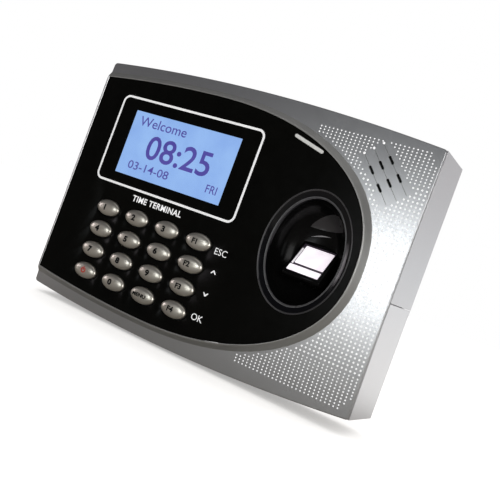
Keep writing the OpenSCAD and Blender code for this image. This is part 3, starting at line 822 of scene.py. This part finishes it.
lamp = Build()
LAMP_TOP = 36.22
lamp_line = [(0.0, 34.9), (0.0, PANEL_N), (0.1, 36.1), (0.3, 36.18), (0.6, LAMP_TOP)]
lamp_loops = [stadium(*LIGHT_AT, 17.0 - shrink * 2, 1.6 - shrink * 2, LIGHT_TURN) for shrink, _ in lamp_line]
lamp.rows([at(loop, n) for loop, (_, n) in zip(lamp_loops, lamp_line)])
lamp.sheet(lamp_loops[-1], [], level(LAMP_TOP))
lamp.make("status_lens", "case", [lens_grey], ["status_light"])

# ---------- finger bowl ----------


def smooth_profile(points, steps=5):
    """Catmull-Rom line through profile points."""
    points = [Vector(p) for p in points]
    out = []
    for i in range(len(points) - 1):
        a, b, c, d = (points[min(max(k, 0), len(points) - 1)] for k in range(i - 1, i + 3))
        for k in range(steps):
            t = k / steps
            out.append(0.5 * ((2 * b) + (c - a) * t + (2 * a - 5 * b + 4 * c - d) * t * t
                              + (3 * b - a - 3 * c + d) * t**3))
    return out + [points[-1]]


# the rim and the well are ovals stacked along a profile: half width, half height, level
RIM_AT = (50.5, 0.0)
outer_bead = [(21.5, 28.15, 35.95), (21.46, 28.11, 36.22), (21.34, 28.0, 36.36), (21.18, 27.84, 36.38),
              (21.02, 27.68, 36.24), (20.8, 27.4, 36.02)]
ring_face = [(20.8, 27.4, 36.02), (20.2, 26.75, 35.86), (19.3, 25.8, 35.55), (18.5, 24.98, 35.26)]
inner_bead = [(18.5, 24.98, 35.26), (18.22, 24.66, 35.24), (18.0, 24.42, 35.3), (17.82, 24.2, 35.24),
              (17.66, 24.0, 34.9)]
throat = [(17.66, 24.0, 34.9), (17.35, 23.6, 33.8)]
well = [(17.35, 23.6, 33.8), (17.0, 23.0, 32.2), (16.2, 21.9, 29.8), (14.7, 19.8, 27.2),
        (12.4, 17.0, 25.0), (9.6, 13.4, 23.5), (6.0, 8.6, 22.8), (2.0, 3.0, 22.6)]
bowl_slots = [bowl_black, ring_black, pad_painted_reflection, rib_painted_highlight, bead_painted_highlight]
WELL, RING, PAD, RIB, BEAD = range(5)
bowl = Build()
for slot, profile in ((BEAD, outer_bead), (RING, ring_face), (BEAD, inner_bead), (RING, throat),
                      (WELL, well)):
    bowl.rows([at(oval(*RIM_AT, a, b, 128), n) for a, b, n in smooth_profile(profile)], slot=slot)
well_line = smooth_profile(well)
a, b, lowest = well_line[-1]
bowl.fan(at(oval(*RIM_AT, a, b, 128), lowest), (*RIM_AT, well[-1][2]))


def well_floor(x, v):
    """Height of the bowl's inside."""
    last = None
    for a, b, n in well_line:
        g = ((x - RIM_AT[0]) / a) ** 2 + (v / b) ** 2
        if last and last[0] <= 1 <= g:
            return last[1] + (n - last[1]) * (1 - last[0]) / (g - last[0])
        last = (g, n)
    return well_line[-1][2]


# raised pad in the upper wall, lighter grey as a painted reflection of the glowing glass, and the fine rib
# below it, light grey with a faint glow as a painted highlight line
pad = [(43.9, 12.0), (44.6, 13.4), (45.5, 14.6), (47.6, 16.7), (50.4, 18.6), (53.0, 19.6), (55.4, 20.0),
       (58.0, 19.4), (60.2, 17.9), (61.5, 15.8), (61.3, 13.6), (57.5, 13.0), (52.5, 12.4), (47.8, 12.1)]
PAD_UP = 0.15
pad = back_to_front(pad)
bowl.sheet(pad, [], lambda x, v: well_floor(x, v) + PAD_UP, pitch=0.9, slot=PAD)
bowl.rows([[(x, v, well_floor(x, v) + up) for x, v in pad] for up in (-0.1, PAD_UP)], slot=WELL)
RIB_X, RIB_V, RIB_LEN, RIB_HALF, RIB_STEPS = 45.4, 10.1, 9.6, 0.26, 24
rib = []
for i in range(RIB_STEPS + 1):
    x = RIB_X + RIB_LEN * i / RIB_STEPS
    v = RIB_V - (55.2 - x) ** 2 * 0.0235
    taper = sin(pi * (i + 0.3) / (RIB_STEPS + 0.6))
    row = []
    for w in (-1, -0.6, -0.2, 0.2, 0.6, 1):
        across = v + w * RIB_HALF * taper
        row.append((x - 0.3 * w * taper, across, well_floor(x, across) - 0.05 + 0.3 * cos(pi * w / 2)))
    rib.append(row)
bowl.rows(list(reversed(rib)), closed=False, slot=RIB)

# sloped pedestal round the glass: its side outline (v, n), repeated across with softened edges
side = [(-14.0, 21.0), (-12.9, 31.2), (-12.5, 32.8), (-11.9, 33.9), (-11.2, 34.45), (-10.6, 34.5),
        (-10.0, 34.25), (5.8, 22.65), (6.6, 21.2)]
PEDESTAL_HALF, TOP_FROM = 9.6, 30
left_rows = []
for off, shrink in ((PEDESTAL_HALF, 0.55), (PEDESTAL_HALF - 0.1, 0.25), (PEDESTAL_HALF - 0.5, 0.0)):
    x = GLASS_AT[0] - off
    left_rows.append([(x, v + (0.0 if n < TOP_FROM else shrink * 0.3), n - shrink) for v, n in side])
right_rows = [[(2 * GLASS_AT[0] - x, v, n) for x, v, n in row] for row in reversed(left_rows)]
bowl.rows(left_rows + right_rows, closed=False)
cap = list(range(len(side)))
bowl.add(left_rows[0], [back_to_front(cap)])
bowl.add(right_rows[-1], [cap])
bowl.make("finger_well", "case", bowl_slots, ["finger_bowl"], angle=40)


def on_glass(x, y, z):
    """Point of the tilted glass's own frame, in the face frame."""
    t = radians(-GLASS_TILT)
    return (GLASS_AT[0] + x, GLASS_AT[1] + y * cos(t) - z * sin(t), GLASS_N + y * sin(t) + z * cos(t))


def block(b, x0, x1, y0, y1, low, high, edge, slot):
    """A bevelled slab lying on the sloped seat of the reader."""
    cx, cy, w, h = (x0 + x1) / 2, (y0 + y1) / 2, x1 - x0, y1 - y0
    rings = []  # four outlines, from the seat up to the top face
    for shrink, z in ((0.0, low), (0.0, high - edge), (edge * 0.3, high - edge * 0.3), (edge, high)):
        outline = rounded_rect(cx, cy, w - 2 * shrink, h - 2 * shrink, 0.3, 3)
        rings.append([on_glass(x, y, z) for x, y in outline])
    b.rows(rings, slot=slot)
    b.add(rings[-1], [list(range(len(rings[-1])))], slot)


glass = Build()
LIT, BEZEL, DIM = range(3)
block(glass, -8, 8, -8.45, 8.45, -1.0, 0.16, 0.06, BEZEL)
block(glass, -6.5, 7.8, -3.6, 7.3, 0.1, 0.42, 0.16, LIT)
block(glass, -7.9, 7.8, -8.3, -4.9, 0.1, 0.42, 0.12, LIT)
block(glass, -7.85, -6.85, -4.3, 5.6, 0.1, 0.3, 0.12, DIM)
glass.make("reader_glass", "case", [glow_mat, bezel_grey, soft_glow], ["sensor_glass"])

# ---------- stage, lights and camera ----------

world = bpy.data.worlds.new("world")
bpy.context.scene.world = world
world.use_nodes = True
world_nodes, world_links = world.node_tree.nodes, world.node_tree.links
way = world_nodes.new("ShaderNodeSeparateXYZ")
world_links.new(world_nodes.new("ShaderNodeTexCoord").outputs["Generated"], way.inputs["Vector"])


def blend_light(factor, a, b):
    """Mixes two colours, or two sockets, by a socket."""
    mix = world_nodes.new("ShaderNodeMix")
    mix.data_type = "RGBA"
    world_links.new(factor, mix.inputs[0])
    for slot, c in ((6, a), (7, b)):
        if isinstance(c, tuple):
            mix.inputs[slot].default_value = (*c, 1)
        else:
            world_links.new(c, mix.inputs[slot])
    return mix.outputs[2]


def sky(axis, low, high, a, b):
    """A soft change of the room's light along one axis."""
    span = world_nodes.new("ShaderNodeMapRange")
    span.interpolation_type = "SMOOTHSTEP"
    span.inputs["From Min"].default_value, span.inputs["From Max"].default_value = low, high
    world_links.new(way.outputs[axis], span.inputs["Value"])
    return blend_light(span.outputs["Result"], a, b)


front_room = sky("Z", -0.4, 0.4, (0.072, 0.06, 0.043), (0.078, 0.077, 0.083))
back_room = sky("Z", -0.08, 0.22, (1.15, 1.2, 1.24), (0.56, 0.54, 0.555))
room = sky("Y", 0.0, 0.7, front_room, back_room)
seen_directly = world_nodes.new("ShaderNodeLightPath").outputs["Is Camera Ray"]
background = world_nodes["Background"]
world_links.new(blend_light(seen_directly, room, (1.0, 1.0, 1.0)), background.inputs["Color"])
background.inputs["Strength"].default_value = 1.0


def pale_floor():
    """Pale ground that looks evenly lit to the camera, with a painted soft shadow under the object."""
    pale = Nodes("floor_pale", (0.62, 0.58, 0.52), 0.0, 0.9, Emission_Color=WHITE)
    # its glow is dimmed by ambient occlusion near the object: painted shadow
    shade = pale.node("ShaderNodeAmbientOcclusion", samples=8)
    shade.inputs["Distance"].default_value = 0.09
    place = pale.node("ShaderNodeSeparateXYZ")
    pale.link(pale.coord, place.inputs["Vector"])
    seen = pale.node("ShaderNodeMath", operation="MAXIMUM")
    pale.link(pale.node("ShaderNodeLightPath").outputs["Is Camera Ray"], seen.inputs[0])
    pale.link(pale.ramp(place.outputs["Y"], 0.0, 0.95, 0.0, 0.12), seen.inputs[1])
    glow = pale.node("ShaderNodeMath", operation="MULTIPLY")
    pale.link(pale.ramp(shade.outputs["AO"], 0.35, 1.0, 0.0, 0.9), glow.inputs[0])
    pale.link(seen.outputs["Value"], glow.inputs[1])
    pale.link(glow.outputs["Value"], pale.b.inputs["Emission Strength"])
    return pale.m


FLOOR_Z, FLOOR_HALF = -0.0664, 8
floor_mesh = bpy.data.meshes.new("floor")
square = [(sx * FLOOR_HALF, sy * FLOOR_HALF, FLOOR_Z) for sx, sy in ((-1, -1), (1, -1), (1, 1), (-1, 1))]
floor_mesh.from_pydata(square, [], [[0, 1, 2, 3]])
floor_mesh.materials.append(pale_floor())
floor = bpy.data.objects.new("floor", floor_mesh)
bpy.context.scene.collection.objects.link(floor)


def soft_light(name, place, aim, size, power, colour=(1, 1, 1)):
    """A rectangular studio light, aimed at a point."""
    data = bpy.data.lights.new(name, "AREA")
    data.shape = "RECTANGLE"
    data.size, data.size_y = size
    data.energy = power
    data.color = colour
    o = bpy.data.objects.new(name, data)
    o.location = place
    o.rotation_euler = (Vector(aim) - Vector(place)).to_track_quat("-Z", "Y").to_euler()
    bpy.context.scene.collection.objects.link(o)
    o.visible_camera = False


soft_light("front_box", (-0.19, -1.05, 0.03), (0.05, 0, 0), (0.30, 0.30), 1.95, (0.93, 0.975, 1.0))
soft_light("top_box", (0.1, -0.3, 1.6), (0, 0, 0), (1.8, 1.8), 3.4)
soft_light("left_box", (-1.12, -0.6, -0.02), (0, 0, 0), (0.2, 0.36), 1.5, (1, 0.93, 0.98))
soft_light("right_box", (1.3, -0.35, -0.05), (0.05, 0, 0), (0.5, 0.8), 1.6, (0.93, 0.97, 1))
soft_light("key_box", (0.66, -0.82, 0.2), (0, 0, 0), (0.46, 0.46), 3.7)

camera_data = bpy.data.cameras.new("camera")
camera_data.lens = 51.3
camera_data.sensor_width = 36
camera_data.clip_start = 0.01
camera = bpy.data.objects.new("camera", camera_data)
right, up, back = (0.8153, 0.4631, 0.3476), (-0.3002, -0.1752, 0.9376), (0.4951, -0.8688, -0.0038)
turn = Matrix((right, up, back)).transposed().to_4x4()
camera.matrix_world = Matrix.Translation((0.1838, -0.3140, -0.0086)) @ turn
bpy.context.scene.collection.objects.link(camera)
bpy.context.scene.camera = camera
bpy.context.scene.view_settings.view_transform = "Standard"
bpy.context.scene.view_settings.look = "None"
